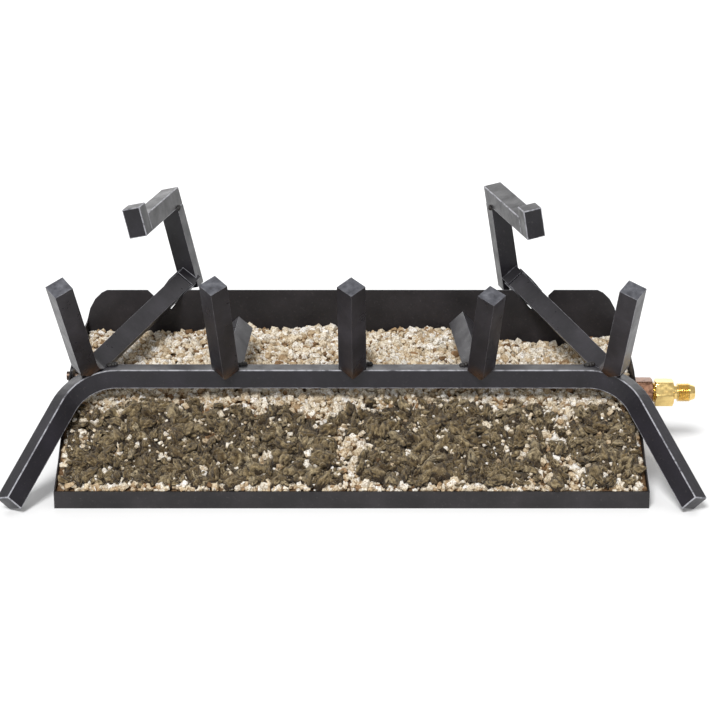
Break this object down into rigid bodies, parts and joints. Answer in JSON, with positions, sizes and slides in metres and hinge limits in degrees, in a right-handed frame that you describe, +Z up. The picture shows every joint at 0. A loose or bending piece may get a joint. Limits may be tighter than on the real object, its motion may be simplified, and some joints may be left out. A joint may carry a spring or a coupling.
{
  "type": "gas log burner set",
  "caption": "Vented gas-log burner pan filled with vermiculite and ember wool, brass flare gas inlet, and a welded square-bar log grate with slide-on rear log supports.",
  "frame": {"origin": "middle of the overall box, on the floor", "axes": "+X to the gas inlet side, +Y to the back of the fireplace, +Z up"},
  "size_m": [0.6856, 0.3264, 0.255],
  "materials": {
    "black_sheet": "satin black heat paint on 1.2 mm sheet",
    "black_bar": "satin black heat paint on square bar",
    "black_pipe": "black pipe",
    "weld": "painted weld bead",
    "steel_zinc": "zinc plated, dulled",
    "bronze_hex": "dull copper-brown hexagon",
    "brass": "bright turned brass",
    "vermiculite": "loose, matt",
    "rock_wool": "loose tufts, matt"
  },
  "bodies": {
    "base": {"burner_pan": "black_sheet", "back_panel": "black_sheet", "burner_tube": "black_pipe", "orifice_spud": "brass", "tube_locknut": "steel_zinc", "hex_coupling": "bronze_hex", "close_nipple": "brass", "flare_connector": "brass", "tube_bracket_left": "black_sheet", "tube_bracket_right": "black_sheet", "tube_end_tab": "black_sheet", "side_screw": "steel_zinc", "vermiculite_bed": "vermiculite", "ember_wool": "rock_wool"},
    "grate": {"front_bar": "black_bar", "outer_tine_left": "black_bar", "inner_tine_left": "black_bar", "centre_tine": "black_bar", "inner_tine_right": "black_bar", "outer_tine_right": "black_bar", "outer_weld_left": "weld", "inner_weld_left": "weld", "centre_weld": "weld", "inner_weld_right": "weld", "outer_weld_right": "weld"},
    "rear_left": {"rear_post_left": "black_bar", "rear_arm_left": "black_bar", "rear_stop_left": "black_bar", "rear_saddle_left": "black_sheet", "rear_weld_left": "weld"},
    "rear_right": {"rear_post_right": "black_bar", "rear_arm_right": "black_bar", "rear_stop_right": "black_bar", "rear_saddle_right": "black_sheet", "rear_weld_right": "weld"}
  },
  "joints": [
    {"name": "grate_lift", "type": "slide", "parent": "base", "child": "grate", "axis": [0, 0, 1], "range_m": [0, 0.15]},
    {"name": "rear_left_slide", "type": "slide", "parent": "grate", "child": "rear_left", "axis": [0.3803, 0.9077, 0.1771], "range_m": [0, 0.06]},
    {"name": "rear_right_slide", "type": "slide", "parent": "grate", "child": "rear_right", "axis": [-0.3838, 0.9042, 0.1874], "range_m": [0, 0.06]}
  ]
}
